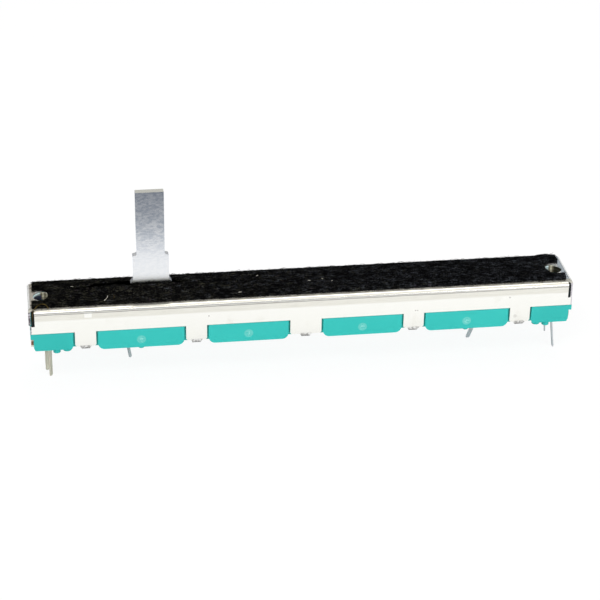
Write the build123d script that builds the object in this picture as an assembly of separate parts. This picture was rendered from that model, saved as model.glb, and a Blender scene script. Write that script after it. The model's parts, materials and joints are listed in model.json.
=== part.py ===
from build123d import *
import os

os.makedirs("parts", exist_ok=True)

# Two-gang slide potentiometer, in millimetres, +Z up. The origin is the middle of the
# metal mounting face, between the two screw holes. +X runs along the travel, -Y is the
# front, and the pins point down.

# Whole body
travel = 60.0
end_room = 7.5              # lever's centre to the body's end, at each end of the travel
body_width = 9.0            # over the long skirts
body_height = 6.5           # mounting face to the feet
rest_travel = 9.26          # lever as it stands, from the travel's left end

# Folded tinplate cover
sheet = 0.3
bend_radius = 0.45          # outside of each bend
skirt_depth = 3.35          # mounting face to the windows' top edge
relief_depth = 2.2          # corner slots, from the mounting face
skirt_inset = 0.8           # body end to the skirt beside the corner slot
band_inset = 0.2            # body end to the skirt below the corner slot
flange_depth = 2.5
flange_inset = 0.8          # body side to the end flange
tab_inset = 7.5             # body end to the outermost tab's centre
tab_width = 2.84
middle_tab_width = 4.3
tab_lift = 0.95             # tab's lower edge above the feet's plane
tab_chamfer = 0.2
tongue_width = 1.8          # where it leaves the tab
tongue_tip_width = 1.15
tongue_lift = 0.38          # crimped tongue's underside above the feet's plane
tongue_reach = 1.6          # tongue's length under the base, from the skirt's outside
slot_width = 1.8
slot_end_radius = 0.5
slot_end_gap = 0.4          # lever to the slot's end at each end of the travel

# Mounting screws, M3
screw_inset = 2.0           # body's end to the screw's centre
tapping_radius = 1.25
burr_wall = 0.25
burr_depth = 1.2            # mounting face to the extruded collar's lower edge
screw_room = 2.2            # depth left clear below the mounting face
notch_clearance = 0.15      # collar to the base

# Dust felt
felt_thickness = 0.5
felt_end_inset = 0.725      # body's end to the felt's end
felt_side_inset = 1.0       # body's side to the felt's side
felt_shift = -0.18          # glued a little to the left
felt_corner = 0.8
felt_cut_width = 3.8
felt_cut_gap = 0.1          # U cut-out's round end to the screw hole
felt_slit_width = 1.2

# Base moulding
foot_height = 0.3           # feet below the window panels' lower edge
floor_thickness = 0.8       # window panels' lower edge to the board's underside
panel_gap = 0.24            # panel to each tab beside it
panel_top_gap = 0.05
panel_corner = 0.9
wall_clearance = 0.05       # base wall to the cover's inside
wall_top = 0.15             # base wall's top below the cover's underside
wall_thickness = 0.7
ledge_width = 0.5           # ledge that carries the carriage, from the wall inwards
end_wall = 0.6
core_inset = 0.15           # base behind the tabs, in from its wall
end_rise = 0.25             # end panels' lower edge above the window panels'
end_step = 0.4              # end panels' step in, under the upper band
end_step_height = 0.75
end_chamfer_width = 0.2     # end panels' lower outer edge
end_chamfer_height = 0.45
end_notch = 0.45            # end panel's rise beside the outermost tab
foot_radius = 0.5
foot_inset = 0.6            # foot's centre to the body's side
foot_offset = 2.48          # foot's centre from the outermost tab's edge
bump_offset = 1.08          # small bump's centre from the outermost tab's edge
bump_height = 0.25
bump_radius = 0.55
pip_radius = 0.38
mark_radius = 0.55
mark_depth = 0.04
mark_height = 1.5           # moulding marks' centre above the feet's plane
stop_length = 0.6
stop_gap = 0.12             # carriage to stop at each end of the travel
stop_reach = 1.45           # stop's length in from the wall
stop_drop = 1.3             # stop's top below the wall's top

# Element board and its printed tracks
board_thickness = 1.2
board_inset = 0.3           # board's end behind the body's end
board_shift = -0.1          # board lies a little to the left
board_neck = 1.1            # length of the wide tongue at each end
board_tongue_margin = 0.35  # tongue's edge inside the base's side
print_thickness = 0.05
track_edge = 0.2            # board's side to the resistive track
track_gap = 0.45            # resistive track to the collector track beside it
gang_gap = 0.8              # between the two gangs' collector tracks
track_difference = 0.1      # resistive track wider than the collector track

# Terminals, stamped from one sheet, all with their tips in one plane
pin_length = 4.8            # feet's plane to the tips
terminal_sheet = 0.2
foot_half_width = 0.42
stake_size = 0.6            # square stake through the board
stake_head_size = 1.0
stake_head_height = 0.2
stake_inset = 2.2           # end stakes' centre behind the body's end
pin_width = 0.6
pin_tip_width = 0.54        # above the rounded tip
pin_end_width = 0.36        # flat end of the rounded tip
pin_rounding = 0.14         # length of the rounded tip
pin_straight = 0.1          # pin's straight stretch below the feet's plane
pin_clearance = 0.05        # pin to its hole in the base

# Where each pin leaves the base
front_pin_inset = 2.5       # body's side to the front pins
rear_pin_inset = 2.7        # body's side to the two inner pins of the rear gang
corner_pin_inset = 2.0      # body's side to the right rear pin
middle_pin_row = 0.4
left_pin_inset = 13.0       # body's left end to the left rear pin
right_pin_inset = 11.5      # body's right end to the right middle pin
left_pin_shift = 0.5        # left front pin inwards of its stake
middle_pin_shift = 0.08     # left middle pin inwards of its stake
right_pin_shift = 0.2       # right rear pin outwards of its stake

# How each pin stands after use: its tip's lean along X, and its twist in degrees
left_front_lean = 0.0
left_front_twist = 58
left_middle_lean = 0.0
left_middle_twist = 38
left_rear_lean = 0.82
left_rear_twist = 62
right_front_lean = 0.57
right_front_twist = 90
right_middle_lean = -1.65
right_middle_twist = 0
right_rear_lean = 0.37
right_rear_twist = 78

# Lever, carriage and contacts
lever_height = 15.0
lever_width = 3.8
lever_thickness = 0.96
lever_shoulder_height = 5.65
lever_shoulder_width = 4.9
lever_foot_height = 1.5
lever_foot_width = 5.6
lever_root_width = 6.2
lever_root_height = 0.8
lever_embed = 2.2           # lever's length below the carriage's top
lever_fillet = 0.45         # height of the flare
lever_corner = 0.25
lever_fit = 0.02            # lever to its pocket in the carriage
carriage_length = 7.0
carriage_side_gap = 0.15
carriage_top_gap = 0.15
carriage_ledge_gap = 0.05
carriage_wing = 0.6         # wing's underside above the carriage's underside
brush_room = 1.0            # board's top to the carriage's underside
carriage_edge = 0.2
pad_length = 1.2            # raised runner at each corner of the carriage
pad_height = 0.1
pad_width = 0.3
channel_wall = 0.4          # carriage beside the spring's channel
peg_size = 0.6              # square pegs that hold the contacts
peg_head_size = 0.84
peg_head_height = 0.15
wiper_sheet = 0.12
wiper_back = 3.0            # contact plate's back edge from the lever's centre
wiper_front = 0.6           # contact plate's front edge, behind the lever's centre
wiper_margin = 0.12         # contact plate beyond its pegs
finger_count = 3
finger_gap = 0.08
finger_margin = 0.04        # outer fingers inside the collector track's edges
finger_tip_x = 2.9
finger_tip_rise = 0.25
finger_root = 0.3           # finger's stretch on its contact plate
finger_bend = 0.25
contact_gap = 0.02
spring_sheet = 0.12
spring_length = 6.6
spring_window_length = 5.9
spring_window_width = 2.2
spring_pocket = 0.5
spring_gap = 0.03           # spring's crown to the cover's underside
spring_side_gap = 0.1
spring_seat_gap = 0.01

# Places worked out from the sizes above
rest_x = rest_travel - travel / 2                   # lever's centre
half_length = travel / 2 + end_room
half_width = body_width / 2
seat_z = -body_height
plate_z = -sheet                                    # cover's underside
window_z = -skirt_depth
tab_z = seat_z + tab_lift
tongue_z = seat_z + tongue_lift
tongue_floor_z = tongue_z + sheet
panel_z = seat_z + foot_height
board_z = panel_z + floor_thickness                 # board's underside
board_top_z = board_z + board_thickness
print_z = board_top_z + print_thickness             # tracks' top
carriage_z = board_top_z + brush_room
carriage_top_z = plate_z - carriage_top_gap
wing_z = carriage_z + carriage_wing
ledge_z = wing_z - carriage_ledge_gap
wall_top_z = plate_z - wall_top
wall_y = half_width - sheet - wall_clearance        # base wall's outside
inner_y = wall_y - wall_thickness
ledge_y = inner_y - ledge_width
end_x = half_length - sheet - wall_clearance
end_panel_z = panel_z + end_rise
screw_x = half_length - screw_inset
burr_radius = tapping_radius + burr_wall
slot_length = travel + lever_foot_width + 2 * slot_end_gap
tip_z = seat_z - pin_length
outer_tab_x = half_length - tab_inset
tabs = [(side * outer_tab_x * step / 2, tab_width) for side in (-1, 1) for step in (1, 2)]
tabs.append((0, middle_tab_width))
tabs.sort()
end_panel_x = outer_tab_x + tab_width / 2 + panel_gap
carriage_end_x = travel / 2 + carriage_length / 2   # tracks end there too
stop_x = carriage_end_x + stop_gap
stake_x = half_length - stake_inset
track_room = ledge_y - track_edge - track_gap - gang_gap / 2
resistive_width = (track_room + track_difference) / 2
collector_width = (track_room - track_difference) / 2
resistive_row = ledge_y - track_edge - resistive_width / 2
collector_row = (gang_gap + collector_width) / 2
finger_width = (collector_width - 2 * finger_margin - (finger_count - 1) * finger_gap) / finger_count
carriage_y = ledge_y - carriage_side_gap            # carriage's body, between the ledges
wing_y = inner_y - carriage_side_gap
channel_y = wing_y - channel_wall
spring_width = 2 * (channel_y - spring_side_gap)


def span(low_a, high_a, low_b, high_b):
    """Rectangle by its limits."""
    return Pos((low_a + high_a) / 2, (low_b + high_b) / 2) * Rectangle(high_a - low_a, high_b - low_b)


def outline(*points):
    """Closed outline through corner points."""
    return make_face(Polyline(*points, close=True))


def slab_xy(sketch, low, high):
    """Sketch in X and Y, between two heights."""
    return Pos(0, 0, low) * extrude(sketch, amount=high - low, dir=(0, 0, 1))


def slab_xz(sketch, low, high):
    """Sketch in X and Z, between two places along Y."""
    return Pos(0, low, 0) * extrude(Plane.XZ * sketch, amount=high - low, dir=(0, 1, 0))


def slab_yz(sketch, low, high):
    """Sketch in Y and Z, between two places along X."""
    return Pos(low, 0, 0) * extrude(Plane.YZ * sketch, amount=high - low, dir=(1, 0, 0))


def post(x, y, radius, low, high):
    """Upright round bar."""
    return slab_xy(Pos(x, y) * Circle(radius), low, high)


def stake(x, y, size, low, high):
    """Upright square bar."""
    return slab_xy(Pos(x, y) * Rectangle(size, size), low, high)


# Cover


def cover_channel():
    """Top plate with both long bends, down to the corner slots' lower end."""
    middle = half_width - sheet / 2
    line = FilletPolyline(
        (-middle, -relief_depth),
        (-middle, -sheet / 2),
        (middle, -sheet / 2),
        (middle, -relief_depth),
        radius=bend_radius - sheet / 2,
    )
    return slab_yz(trace(line, sheet), skirt_inset - half_length, half_length - skirt_inset)


def cover_end():
    """End of the top plate with its bend and flange, at the right."""
    middle = half_length - sheet / 2
    line = FilletPolyline(
        (half_length - skirt_inset, -sheet / 2),
        (middle, -sheet / 2),
        (middle, -flange_depth),
        radius=bend_radius - sheet / 2,
    )
    reach = half_width - flange_inset
    flange = slab_xz(trace(line, sheet), -reach, reach)
    lower_edges = flange.edges().filter_by(Axis.X).sort_by(Axis.Z)[:2]
    return chamfer(lower_edges, tab_chamfer)


def cover_skirt():
    """Lower band and tabs of the rear skirt, with a crimped tongue under each tab."""
    band = half_length - band_inset
    face = span(-band, band, window_z, -relief_depth)
    for x, width in tabs:
        left = x - width / 2
        right = x + width / 2
        face += outline(
            (left, window_z),
            (right, window_z),
            (right, tab_z + tab_chamfer),
            (right - tab_chamfer, tab_z),
            (left + tab_chamfer, tab_z),
            (left, tab_z + tab_chamfer),
        )
    return slab_xz(face, half_width - sheet, half_width)


def crimp_tongue(x):
    """Tongue that narrows below the tab and is bent in under the base."""
    middle = half_width - sheet / 2
    tip_y = half_width - tongue_reach
    line = FilletPolyline(
        (middle, tab_z),
        (middle, tongue_z + sheet / 2),
        (tip_y, tongue_z + sheet / 2),
        radius=bend_radius - sheet / 2,
    )
    strip = slab_yz(trace(line, sheet), x - tongue_width / 2, x + tongue_width / 2)
    taper = outline(
        (x - tongue_width / 2, tab_z),
        (x + tongue_width / 2, tab_z),
        (x + tongue_tip_width / 2, tongue_floor_z),
        (x + tongue_tip_width / 2, tongue_z),
        (x - tongue_tip_width / 2, tongue_z),
        (x - tongue_tip_width / 2, tongue_floor_z),
    )
    return strip & slab_xz(taper, tip_y, half_width)


def cover_frame():
    """Cover folded from one sheet, with its tapped screw collars and lever slot."""
    end = cover_end()
    skirt = cover_skirt() + [crimp_tongue(x) for x, width in tabs]
    collars = [post(side * screw_x, 0, burr_radius, -burr_depth, plate_z) for side in (-1, 1)]
    bores = [post(side * screw_x, 0, tapping_radius, -burr_depth, 0) for side in (-1, 1)]
    slot = slab_xy(RectangleRounded(slot_length, slot_width, slot_end_radius), plate_z, 0)
    pieces = [end, mirror(end, about=Plane.YZ), skirt, mirror(skirt, about=Plane.XZ), *collars]
    return cover_channel() + pieces - [slot, *bores]


# Dust felt


def dust_felt():
    """Felt strip with a slit for the lever and a U cut-out round each screw hole."""
    length = 2 * (half_length - felt_end_inset)
    width = 2 * (half_width - felt_side_inset)
    strip = Pos(felt_shift, 0) * RectangleRounded(length, width, felt_corner)
    cut_radius = felt_cut_width / 2
    cut_x = screw_x - tapping_radius - felt_cut_gap + cut_radius
    cut = Pos(cut_x, 0) * Circle(cut_radius) + span(cut_x, half_length, -cut_radius, cut_radius)
    slit = Rectangle(slot_length, felt_slit_width)
    return slab_xy(strip - [slit, cut, mirror(cut, about=Plane.YZ)], 0, felt_thickness)


# Base moulding


def end_outline(inner_x, low_z, high_z):
    """Right end of the base in side view, stepped in under its upper band."""
    band_x = half_length - band_inset + wall_clearance
    step_z = high_z - end_step_height
    return (
        (inner_x, high_z),
        (band_x, high_z),
        (band_x, step_z),
        (band_x - end_step, step_z),
        (band_x - end_step, low_z + end_chamfer_height),
        (band_x - end_step - end_chamfer_width, low_z),
    )


def half_core(reach, low_z, high_z):
    """Right half of the base's core in side view, cut off at a lower level."""
    face = outline((0, low_z), (0, high_z), *end_outline(0, end_panel_z, high_z)[1:], (0, end_panel_z))
    return slab_xz(face & span(0, half_length, low_z, high_z), -reach, reach)


def end_block():
    """Full-width right end of the base, below the cover's skirt."""
    high_z = window_z - panel_top_gap
    face = outline(
        *end_outline(end_panel_x, end_panel_z, high_z),
        (end_panel_x + panel_gap, end_panel_z),
        (end_panel_x, end_panel_z + end_notch),
    )
    return slab_xz(face, -half_width, half_width)


def window_ends():
    """Both ends of the panel in each of the cover's windows, between two tabs."""
    ends = []
    for (left_x, left_width), (right_x, right_width) in zip(tabs, tabs[1:]):
        ends.append((left_x + left_width / 2 + panel_gap, right_x - right_width / 2 - panel_gap))
    return ends


def window_blocks():
    """Full-width blocks that fill the cover's windows."""
    blocks = []
    for low_x, high_x in window_ends():
        face = span(low_x, high_x, panel_z, window_z - panel_top_gap)
        face = fillet(face.vertices().sort_by(Axis.Y)[:2], panel_corner)
        blocks.append(slab_xz(face, -half_width, half_width))
    return blocks


def feet():
    """Round feet, bumps and pips under the base."""
    foot_y = half_width - foot_inset
    foot_x = outer_tab_x + tab_width / 2 + foot_offset
    bump_x = outer_tab_x + tab_width / 2 + bump_offset
    pip_x = sum(window_ends()[-1]) / 2
    parts = []
    for side in (-1, 1):
        for y in (-foot_y, foot_y):
            parts.append(post(side * foot_x, y, foot_radius, seat_z, end_panel_z))
            parts.append(post(side * bump_x, y, bump_radius, seat_z + bump_height, end_panel_z))
            parts.append(post(side * pip_x, y, pip_radius, seat_z, panel_z))
    return parts


def moulding_marks():
    """Shallow round recesses that the mould leaves in the middle of each window panel."""
    marks = []
    for low_x, high_x in window_ends():
        face = Pos((low_x + high_x) / 2, seat_z + mark_height) * Circle(mark_radius)
        marks.append(slab_xz(face, -half_width, mark_depth - half_width))
        marks.append(slab_xz(face, half_width - mark_depth, half_width))
    return marks


def screw_notch(side):
    """Room for a screw and its collar, open to the base's end."""
    radius = burr_radius + notch_clearance
    notch = Circle(radius) + span(0, half_length - screw_x, -radius, radius)
    return slab_xy(Pos(side * screw_x, 0) * Rot(0, 0, 0 if side > 0 else 180) * notch, -screw_room, 0)


def travel_stop(side_x, side_y):
    """Stop that ends the carriage's travel, standing in from the base's wall."""
    xs = sorted((side_x * stop_x, side_x * (stop_x + stop_length)))
    ys = sorted((side_y * (inner_y - stop_reach), side_y * inner_y))
    return slab_xy(span(*xs, *ys), print_z + contact_gap, wall_top_z - stop_drop)


def base_moulding():
    """Plastic tub that holds the element board and carries the slider."""
    high_z = window_z - panel_top_gap
    upper = slab_xy(Rectangle(2 * end_x, 2 * wall_y), high_z, wall_top_z)
    core = half_core(wall_y - core_inset, tongue_floor_z, high_z)
    end = end_block()
    blocks = [core, mirror(core, about=Plane.YZ), end, mirror(end, about=Plane.YZ)]
    blocks += window_blocks() + feet()
    room_x = end_x - end_wall
    rooms = [
        slab_xy(Rectangle(2 * room_x, 2 * inner_y), ledge_z, wall_top_z),
        slab_xy(Rectangle(2 * room_x, 2 * ledge_y), board_top_z, ledge_z),
        slab_xy(board_outline(), board_z, board_top_z),
    ]
    cuts = [screw_notch(side) for side in (-1, 1)] + moulding_marks()
    cuts += [terminal.foot(pin_clearance) for terminal in terminals]
    cuts += [terminal.hole() for terminal in terminals]
    stops = [travel_stop(side_x, side_y) for side_x in (-1, 1) for side_y in (-1, 1)]
    return upper + blocks - rooms - cuts + stops


# Element board and prints


def board_outline():
    """Board with a wide tongue at each end."""
    tip_x = half_length - board_inset
    neck_x = tip_x - board_neck
    face = Rectangle(2 * tip_x, 2 * ledge_y)
    for side in (-1, 1):
        xs = sorted((side * neck_x, side * tip_x))
        tongue_y = half_width - board_tongue_margin
        face += span(*xs, -tongue_y, tongue_y)
    return Pos(board_shift, 0) * face


def element_board():
    """Laminated board with a square hole for each terminal's stake."""
    holes = [stake(*terminal.stake, stake_size, board_z, board_top_z) for terminal in terminals]
    return slab_xy(board_outline(), board_z, board_top_z) - holes


def track(row, width):
    """Printed track along the board."""
    face = span(-carriage_end_x, carriage_end_x, row - width / 2, row + width / 2)
    return slab_xy(face, board_top_z, print_z)


def silver_pads():
    """Printed pads from the tracks' ends to the stakes, all in one print."""
    reach = stake_head_size / 2
    pads = Part()
    for terminal in terminals:
        if not terminal.headed:
            continue
        x, row = terminal.stake
        side = 1 if x > 0 else -1
        xs = sorted((side * carriage_end_x, x + side * reach))
        pad = slab_xy(span(*xs, row - reach, row + reach), board_top_z, print_z)
        pads += pad - stake(x, row, stake_size, board_top_z, print_z)
    return pads


# Terminals


class Terminal:
    """Stamped terminal: a stake through the board, a foot under it and a pin."""

    def __init__(self, name, stake, root, lean, twist, headed=True):
        self.name = name
        self.stake = stake
        self.root = root
        self.lean = lean
        self.twist = twist
        self.headed = headed

    def foot(self, clearance=0):
        """Foot plate between the stake and the pin."""
        end = Rectangle(2 * (foot_half_width + clearance), 2 * (foot_half_width + clearance))
        ends = (Pos(*self.stake) * end).edges() + (Pos(*self.root) * end).edges()
        return slab_xy(make_hull(ends), board_z - terminal_sheet, board_z)

    def section(self, width, depth, z):
        """Pin's cross-section at a height, moved along by the lean below the base."""
        bend_z = seat_z - pin_straight
        drift = self.lean * max(0, bend_z - z) / (bend_z - tip_z)
        return Pos(self.root[0] + drift, self.root[1], z) * Rot(0, 0, self.twist) * Rectangle(width, depth)

    def hole(self):
        """Clear hole for the pin through the base's floor."""
        face = self.section(pin_width + 2 * pin_clearance, terminal_sheet + 2 * pin_clearance, seat_z)
        return extrude(face, amount=board_z - seat_z, dir=(0, 0, 1))

    def pin(self):
        """Pin, straight through the floor and then leaning, with a rounded tip."""
        stations = (
            (pin_width, board_z - terminal_sheet / 2),
            (pin_width, seat_z - pin_straight),
            (pin_tip_width, tip_z + pin_rounding),
            (pin_end_width, tip_z),
        )
        return loft([self.section(width, terminal_sheet, z) for width, z in stations], ruled=True)

    def solid(self):
        """Whole terminal as one solid."""
        top = print_z if self.headed else board_top_z
        body = self.foot() + self.pin() + stake(*self.stake, stake_size, board_z, top)
        if self.headed:
            body += stake(*self.stake, stake_head_size, print_z, print_z + stake_head_height)
        return body


front_pin_y = front_pin_inset - half_width
rear_pin_y = half_width - rear_pin_inset
left_pin_x = left_pin_inset - half_length
right_pin_x = half_length - right_pin_inset
terminals = [
    Terminal(
        "terminal_left_front",
        stake=(-stake_x, -resistive_row),
        root=(left_pin_shift - stake_x, front_pin_y),
        lean=left_front_lean,
        twist=left_front_twist,
    ),
    Terminal(
        "terminal_left_middle",
        stake=(-stake_x, -collector_row),
        root=(middle_pin_shift - stake_x, -middle_pin_row),
        lean=left_middle_lean,
        twist=left_middle_twist,
    ),
    Terminal(
        "terminal_left_rear",
        stake=(-stake_x, resistive_row),
        root=(left_pin_x, rear_pin_y),
        lean=left_rear_lean,
        twist=left_rear_twist,
    ),
    Terminal(
        "terminal_right_front",
        stake=(stake_x, -resistive_row),
        root=(stake_x, front_pin_y),
        lean=right_front_lean,
        twist=right_front_twist,
    ),
    Terminal(
        "terminal_right_middle",
        stake=(right_pin_x, collector_row),
        root=(right_pin_x, rear_pin_y),
        lean=right_middle_lean,
        twist=right_middle_twist,
        headed=False,
    ),
    Terminal(
        "terminal_right_rear",
        stake=(stake_x, resistive_row),
        root=(stake_x + right_pin_shift, half_width - corner_pin_inset),
        lean=right_rear_lean,
        twist=right_rear_twist,
    ),
]


# Lever, carriage and contacts, drawn about X zero and then put at the lever's place


def lever():
    """Stamped lever with shoulders, a flared foot and a wide root."""
    root_z = carriage_top_z - lever_embed
    half = [
        (lever_width / 2, lever_height),
        (lever_width / 2, lever_shoulder_height),
        (lever_shoulder_width / 2, lever_shoulder_height),
        (lever_shoulder_width / 2, lever_foot_height + lever_fillet),
        (lever_foot_width / 2, lever_foot_height),
        (lever_foot_width / 2, root_z + lever_root_height),
        (lever_root_width / 2, root_z + lever_root_height),
        (lever_root_width / 2, root_z),
    ]
    face = outline(*half, *[(-x, z) for x, z in reversed(half)])
    shoulders = face.vertices().group_by(Axis.Y)[-2]
    face = fillet(shoulders, lever_corner)
    return slab_xz(face, -lever_thickness / 2, lever_thickness / 2)


def lever_pocket():
    """Hollow that holds the lever's foot and root in the carriage."""
    root_z = carriage_top_z - lever_embed
    neck = lever_foot_width / 2 + lever_fit
    root = lever_root_width / 2 + lever_fit
    face = span(-neck, neck, root_z, carriage_top_z)
    face += span(-root, root, root_z - lever_fit, root_z + lever_root_height + lever_fit)
    return slab_xz(face, -lever_thickness / 2 - lever_fit, lever_thickness / 2 + lever_fit)


def slider_carriage():
    """Moulded carriage with wings, runners, a spring channel and pegs for the contacts."""
    half = carriage_length / 2
    body_top = carriage_top_z - pad_height
    section = span(-carriage_y, carriage_y, carriage_z, body_top) + span(-wing_y, wing_y, wing_z, body_top)
    block = slab_yz(section, -half, half)
    block = chamfer(block.edges().filter_by(Axis.Z), carriage_edge)
    pads = []
    for side_x in (-1, 1):
        xs = sorted((side_x * (half - carriage_edge), side_x * (half - carriage_edge - pad_length)))
        for side_y in (-1, 1):
            ys = sorted((side_y * channel_y, side_y * (channel_y + pad_width)))
            pads.append(slab_xy(span(*xs, *ys), body_top, carriage_top_z))
    channel = Rectangle(carriage_length, 2 * channel_y)
    block -= [slab_xy(channel, carriage_top_z - spring_pocket, carriage_top_z), lever_pocket()]
    contact_z = carriage_z - wiper_sheet
    pegs = [stake(x, y, peg_size, contact_z, carriage_z) for x, y in peg_places()]
    heads = [stake(x, y, peg_head_size, contact_z - peg_head_height, contact_z) for x, y in peg_places()]
    return block + pads + pegs + heads


def peg_places():
    """Centres of the pegs that hold both contacts."""
    x = -(wiper_back + wiper_front) / 2
    return [(x, side * row) for side in (-1, 1) for row in (collector_row, resistive_row)]


def finger_line():
    """Middle line of a contact finger, down to the track and up at its tip."""
    start_z = carriage_z - wiper_sheet / 2
    track_z = print_z + contact_gap + wiper_sheet / 2
    return FilletPolyline(
        (-wiper_front - finger_root, start_z),
        (-wiper_front, start_z),
        (finger_tip_x, track_z),
        (finger_tip_x + finger_tip_rise, track_z + finger_tip_rise),
        radius=(0, finger_bend),
    )


def wiper():
    """Rear gang's contact: a plate on two pegs, with fingers for both tracks."""
    reach = peg_size / 2 + wiper_margin
    face = span(-wiper_back, -wiper_front, collector_row - reach, resistive_row + reach)
    plate = slab_xy(face, carriage_z - wiper_sheet, carriage_z)
    plate -= [stake(x, y, peg_size, carriage_z - wiper_sheet, carriage_z) for x, y in peg_places()]
    strip = trace(finger_line(), wiper_sheet)
    pitch = finger_width + finger_gap
    fingers = []
    for row in (collector_row, resistive_row):
        for place in range(finger_count):
            y = row + (place - (finger_count - 1) / 2) * pitch
            fingers.append(slab_xz(strip, y - finger_width / 2, y + finger_width / 2))
    return plate + fingers


def drag_spring():
    """Bowed leaf spring with a window for the lever."""
    crown_z = plate_z - spring_gap - spring_sheet / 2
    end_z = carriage_top_z - spring_pocket + spring_seat_gap + spring_sheet / 2
    bow = ThreePointArc((-spring_length / 2, end_z), (0, crown_z), (spring_length / 2, end_z))
    leaf = slab_xz(trace(bow, spring_sheet), -spring_width / 2, spring_width / 2)
    return leaf - slab_xy(Rectangle(spring_window_length, spring_window_width), carriage_z, 0)


nodes = {
    "cover_frame": cover_frame(),
    "dust_felt": dust_felt(),
    "base_moulding": base_moulding(),
    "element_board": element_board(),
    "resistive_track_rear": track(resistive_row, resistive_width),
    "resistive_track_front": track(-resistive_row, resistive_width),
    "collector_track_rear": track(collector_row, collector_width),
    "collector_track_front": track(-collector_row, collector_width),
    "silver_pads": silver_pads(),
}
for terminal in terminals:
    nodes[terminal.name] = terminal.solid()

rear_wiper = wiper()
slider = {
    "lever": lever(),
    "slider_carriage": slider_carriage(),
    "wiper_rear": rear_wiper,
    "wiper_front": mirror(rear_wiper, about=Plane.XZ),
    "drag_spring": drag_spring(),
}
for name, solid in slider.items():
    nodes[name] = Pos(rest_x, 0, 0) * solid

for name, solid in nodes.items():
    export_step(solid, f"parts/{name}.step")
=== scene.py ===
import json
import math

import bpy
from mathutils import Matrix, Vector, noise


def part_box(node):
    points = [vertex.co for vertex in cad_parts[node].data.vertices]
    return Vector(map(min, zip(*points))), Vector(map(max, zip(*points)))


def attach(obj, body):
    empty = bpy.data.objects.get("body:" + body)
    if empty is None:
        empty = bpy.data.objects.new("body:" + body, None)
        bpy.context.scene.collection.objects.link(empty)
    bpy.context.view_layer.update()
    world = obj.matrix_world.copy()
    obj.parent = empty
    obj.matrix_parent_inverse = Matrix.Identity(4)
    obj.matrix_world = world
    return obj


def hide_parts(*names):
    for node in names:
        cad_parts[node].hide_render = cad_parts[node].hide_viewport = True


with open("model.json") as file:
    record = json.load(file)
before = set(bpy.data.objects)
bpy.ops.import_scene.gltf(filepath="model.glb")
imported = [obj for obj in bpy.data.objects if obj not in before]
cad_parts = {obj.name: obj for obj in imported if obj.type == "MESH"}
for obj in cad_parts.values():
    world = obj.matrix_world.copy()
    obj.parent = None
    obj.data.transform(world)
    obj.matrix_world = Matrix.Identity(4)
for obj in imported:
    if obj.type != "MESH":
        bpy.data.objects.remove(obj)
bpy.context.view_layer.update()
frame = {"nodes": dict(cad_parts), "record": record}

MM = 0.001
HOUSING = "housing"
SLIDER = "slider"


def box_mm(node):
    """Lowest and highest corner of a node at rest, in millimetres."""
    return [[value / MM for value in corner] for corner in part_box(node)]


# Places of the frame, in millimetres

felt_low, felt_high = box_mm("dust_felt")
lever_low, lever_high = box_mm("lever")
cover_high = box_mm("cover_frame")[1]
pin_low = box_mm("terminal_left_front")[0]
lever_x = (lever_low[0] + lever_high[0]) / 2
lever_y = (lever_high[1] - lever_low[1]) / 2        # half its thickness
mounts = {mount["name"]: mount for mount in frame["record"]["mounts"]}
screw_x = mounts["panel_screws"]["dims"]["spacing_x_mm"] / 2
tapping_radius = mounts["panel_screws"]["dims"]["hole_r_mm"]


def paint(red, green, blue):
    """Colour as it is seen, from 0 to 255, as the linear colour of a node."""
    shares = [value / 255 for value in (red, green, blue)]
    return (*[s / 12.92 if s < 0.04045 else ((s + 0.055) / 1.055) ** 2.4 for s in shares], 1.0)


def smooth(value, low, high):
    """Goes smoothly from 0 at low to 1 at high."""
    share = min(1.0, max(0.0, (value - low) / (high - low)))
    return share * share * (3 - 2 * share)


def follow(value, stops):
    """Height of a smooth line through stops of place and height."""
    if value <= stops[0][0]:
        return stops[0][1]
    for (low, start), (high, end) in zip(stops, stops[1:]):
        if value <= high:
            return start + (end - start) * smooth(value, low, high)
    return stops[-1][1]


# Node graphs


class Value:
    """One output of a node graph. Arithmetic on it adds Math nodes."""

    def __init__(self, graph, output):
        self.graph = graph
        self.output = output

    def __add__(self, other):
        return self.graph.maths("ADD", self, other)

    def __radd__(self, other):
        return self.graph.maths("ADD", other, self)

    def __sub__(self, other):
        return self.graph.maths("SUBTRACT", self, other)

    def __rsub__(self, other):
        return self.graph.maths("SUBTRACT", other, self)

    def __mul__(self, other):
        return self.graph.maths("MULTIPLY", self, other)

    def __rmul__(self, other):
        return self.graph.maths("MULTIPLY", other, self)

    def __pow__(self, other):
        return self.graph.maths("POWER", self, other)

    def __abs__(self):
        return self.graph.maths("ABSOLUTE", self)


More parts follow.
